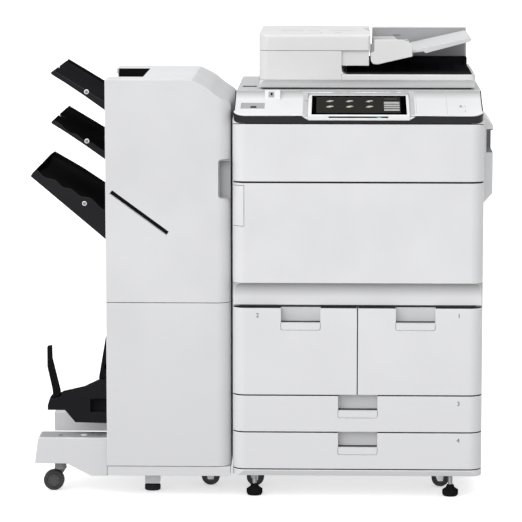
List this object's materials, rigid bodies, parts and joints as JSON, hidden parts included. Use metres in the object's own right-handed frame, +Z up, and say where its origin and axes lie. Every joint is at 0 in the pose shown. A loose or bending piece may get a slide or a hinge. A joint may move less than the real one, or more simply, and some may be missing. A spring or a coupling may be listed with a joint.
{
  "type": "office photocopier with finisher",
  "caption": "Floor-standing office photocopier with document feeder, tilting touch panel, paper drawers, bypass tray and an inline finisher with stacked output trays.",
  "frame": {"origin": "centre of the bounding box at floor level", "axes": "+X to the right seen from the front, +Y towards the back, +Z up"},
  "size_m": [1.2436, 0.782, 1.24],
  "materials": {
    "shell_white": "fine matte texture",
    "shell_grey": "matte",
    "trim_dark": "satin",
    "tray_black": "fine matte texture",
    "frame_grey": "matte",
    "steel": "satin",
    "glass_clear": "polished",
    "screen_dark": "glossy touch display",
    "tyre_rubber": "matte",
    "toner_blue": "matte"
  },
  "bodies": {
    "base": {"main_frame": "frame_grey", "base_skirt": "shell_grey", "left_cover": "shell_white", "right_cover": "shell_white", "rear_cover": "shell_white", "reader_housing": "shell_white", "platen_glass": "glass_clear", "panel_band": "trim_dark", "panel_deck": "shell_white", "drum_unit": "trim_dark", "finisher_frame": "shell_grey", "finisher_exit_liner": "tray_black", "finisher_top_cover": "shell_white", "booklet_tray": "tray_black", "booklet_flap": "tray_black", "outrigger_arm": "shell_white"},
    "scan_head": {"scan_carriage": "tray_black"},
    "touch_module": {"touch_panel": "shell_white", "touch_screen": "screen_dark"},
    "toner_cover": {"toner_cover": "shell_white"},
    "toner_bottle": {"toner_bottle": "toner_blue"},
    "front_door": {"front_door": "shell_white", "front_door_grip": "shell_white"},
    "deck_left": {"deck_left_front": "shell_white", "deck_left_bin": "frame_grey"},
    "deck_right": {"deck_right_front": "shell_white", "deck_right_bin": "frame_grey"},
    "drawer_3": {"drawer_3_front": "shell_white", "drawer_3_bin": "frame_grey"},
    "drawer_4": {"drawer_4_front": "shell_white", "drawer_4_bin": "frame_grey"},
    "feeder": {"feeder_base": "shell_white", "feeder_body": "shell_white", "feeder_exit_tray": "tray_black", "document_tray": "shell_white"},
    "feeder_cover": {"feeder_top_cover": "shell_white"},
    "tray_extension": {"document_tray_extension": "shell_white"},
    "guide_front": {"document_guide_front": "shell_grey"},
    "guide_rear": {"document_guide_rear": "shell_grey"},
    "pickup": {"pickup_roller": "tyre_rubber"},
    "bypass": {"bypass_tray": "shell_white"},
    "bypass_leaf": {"bypass_extension": "shell_grey"},
    "leveler_left": {"leveler_left": "tray_black"},
    "leveler_right": {"leveler_right": "tray_black"},
    "fork_left": {"caster_fork_left": "steel"},
    "wheel_left": {"caster_wheel_left": "tyre_rubber"},
    "fork_right": {"caster_fork_right": "steel"},
    "wheel_right": {"caster_wheel_right": "tyre_rubber"},
    "rear_wheel_left": {"rear_wheel_left": "tyre_rubber"},
    "rear_wheel_right": {"rear_wheel_right": "tyre_rubber"},
    "finisher_door": {"finisher_door_upper": "shell_white", "finisher_door_lower": "shell_white"},
    "tray_1": {"output_tray_1": "tray_black"},
    "tray_2": {"output_tray_2": "tray_black"},
    "tray_3": {"output_tray_3": "tray_black"},
    "stopper": {"booklet_stopper": "tray_black"},
    "arm_fork": {"outrigger_fork": "steel"},
    "arm_wheel": {"outrigger_wheel": "tyre_rubber"},
    "finisher_foot": {"finisher_foot": "tray_black"},
    "finisher_wheel": {"finisher_wheel": "tyre_rubber"}
  },
  "joints": [
    {"name": "scan_slide", "type": "slide", "parent": "base", "child": "scan_head", "axis": [1, 0, 0], "range_m": [0, 0.4]},
    {"name": "panel_tilt", "type": "hinge", "parent": "base", "child": "touch_module", "pos_m": [0.2572, -0.386, 1.025], "axis": [1, 0, 0], "range_deg": [0, 40]},
    {"name": "toner_cover_hinge", "type": "hinge", "parent": "base", "child": "toner_cover", "pos_m": [0.2562, -0.384, 0.863], "axis": [1, 0, 0], "range_deg": [0, 85]},
    {"name": "toner_spin", "type": "hinge", "parent": "base", "child": "toner_bottle", "pos_m": [0.3762, -0.108, 0.935], "axis": [0, 1, 0], "continuous": true},
    {"name": "front_door_hinge", "type": "hinge", "parent": "base", "child": "front_door", "pos_m": [0.5912, -0.35, 0.69], "axis": [0, 0, 1], "range_deg": [0, 95]},
    {"name": "deck_left_slide", "type": "slide", "parent": "base", "child": "deck_left", "axis": [0, -1, 0], "range_m": [0, 0.42]},
    {"name": "deck_right_slide", "type": "slide", "parent": "base", "child": "deck_right", "axis": [0, -1, 0], "range_m": [0, 0.42]},
    {"name": "drawer_3_slide", "type": "slide", "parent": "base", "child": "drawer_3", "axis": [0, -1, 0], "range_m": [0, 0.42]},
    {"name": "drawer_4_slide", "type": "slide", "parent": "base", "child": "drawer_4", "axis": [0, -1, 0], "range_m": [0, 0.42]},
    {"name": "feeder_hinge", "type": "hinge", "parent": "base", "child": "feeder", "pos_m": [0.2802, 0.212, 1.0923], "axis": [-1, 0, 0], "range_deg": [0, 70]},
    {"name": "feeder_cover_hinge", "type": "hinge", "parent": "feeder", "child": "feeder_cover", "pos_m": [-0.0118, -0.001, 1.1963], "axis": [0, -1, 0], "range_deg": [0, 65]},
    {"name": "extension_hinge", "type": "hinge", "parent": "feeder", "child": "tray_extension", "pos_m": [0.4028, -0.02, 1.1962], "axis": [0, -1, 0], "range_deg": [0, 80]},
    {"name": "guide_front_slide", "type": "slide", "parent": "feeder", "child": "guide_front", "axis": [0, 1, 0], "range_m": [-0.036, 0.1]},
    {"name": "guide_rear_slide", "type": "slide", "parent": "feeder", "child": "guide_rear", "axis": [0, 1, 0], "range_m": [-0.1, 0.036]},
    {"name": "pickup_spin", "type": "hinge", "parent": "feeder", "child": "pickup", "pos_m": [0.2522, 0.002, 1.182], "axis": [0, 1, 0], "continuous": true},
    {"name": "bypass_hinge", "type": "hinge", "parent": "base", "child": "bypass", "pos_m": [0.5922, -0.038, 0.782], "axis": [0, 1, 0], "range_deg": [0, 80]},
    {"name": "bypass_leaf_slide", "type": "slide", "parent": "bypass", "child": "bypass_leaf", "axis": [0, 0, 1], "range_m": [0, 0.15]},
    {"name": "leveler_left_turn", "type": "hinge", "parent": "base", "child": "leveler_left", "pos_m": [-0.0208, -0.332, 0.03], "axis": [0, 0, 1], "continuous": true},
    {"name": "leveler_right_turn", "type": "hinge", "parent": "base", "child": "leveler_right", "pos_m": [0.5092, -0.332, 0.03], "axis": [0, 0, 1], "continuous": true},
    {"name": "swivel_left", "type": "hinge", "parent": "base", "child": "fork_left", "pos_m": [-0.0278, -0.208, 0.05], "axis": [0, 0, 1], "continuous": true},
    {"name": "roll_left", "type": "hinge", "parent": "fork_left", "child": "wheel_left", "pos_m": [-0.0218, -0.208, 0.024], "axis": [0, 1, 0], "continuous": true},
    {"name": "swivel_right", "type": "hinge", "parent": "base", "child": "fork_right", "pos_m": [0.4802, -0.208, 0.05], "axis": [0, 0, 1], "continuous": true},
    {"name": "roll_right", "type": "hinge", "parent": "fork_right", "child": "wheel_right", "pos_m": [0.4862, -0.208, 0.024], "axis": [0, 1, 0], "continuous": true},
    {"name": "rear_roll_left", "type": "hinge", "parent": "base", "child": "rear_wheel_left", "pos_m": [-0.0038, 0.252, 0.024], "axis": [0, 1, 0], "continuous": true},
    {"name": "rear_roll_right", "type": "hinge", "parent": "base", "child": "rear_wheel_right", "pos_m": [0.5162, 0.252, 0.024], "axis": [0, 1, 0], "continuous": true},
    {"name": "finisher_door_hinge", "type": "hinge", "parent": "base", "child": "finisher_door", "pos_m": [-0.4178, -0.338, 0.6], "axis": [0, 0, -1], "range_deg": [0, 90]},
    {"name": "tray_1_lift", "type": "slide", "parent": "base", "child": "tray_1", "axis": [0, 0, -1], "range_m": [0, 0.07]},
    {"name": "tray_2_lift", "type": "slide", "parent": "base", "child": "tray_2", "axis": [0, 0, -1], "range_m": [0, 0.07]},
    {"name": "tray_3_lift", "type": "slide", "parent": "base", "child": "tray_3", "axis": [0, 0, -1], "range_m": [0, 0.1]},
    {"name": "stopper_hinge", "type": "hinge", "parent": "base", "child": "stopper", "pos_m": [-0.5678, -0.29, 0.262], "axis": [0, -1, 0], "range_deg": [0, 50]},
    {"name": "arm_swivel", "type": "hinge", "parent": "base", "child": "arm_fork", "pos_m": [-0.5518, -0.284, 0.06], "axis": [0, 0, 1], "continuous": true},
    {"name": "arm_roll", "type": "hinge", "parent": "arm_fork", "child": "arm_wheel", "pos_m": [-0.5698, -0.284, 0.028], "axis": [0, 1, 0], "continuous": true},
    {"name": "finisher_foot_turn", "type": "hinge", "parent": "base", "child": "finisher_foot", "pos_m": [-0.3008, -0.274, 0.018], "axis": [0, 0, 1], "continuous": true},
    {"name": "finisher_roll", "type": "hinge", "parent": "base", "child": "finisher_wheel", "pos_m": [-0.1448, -0.203, 0.025], "axis": [0, 1, 0], "continuous": true}
  ],
  "couplings": [
    {"joint": "guide_rear_slide", "follows": "guide_front_slide", "ratio": -1}
  ]
}
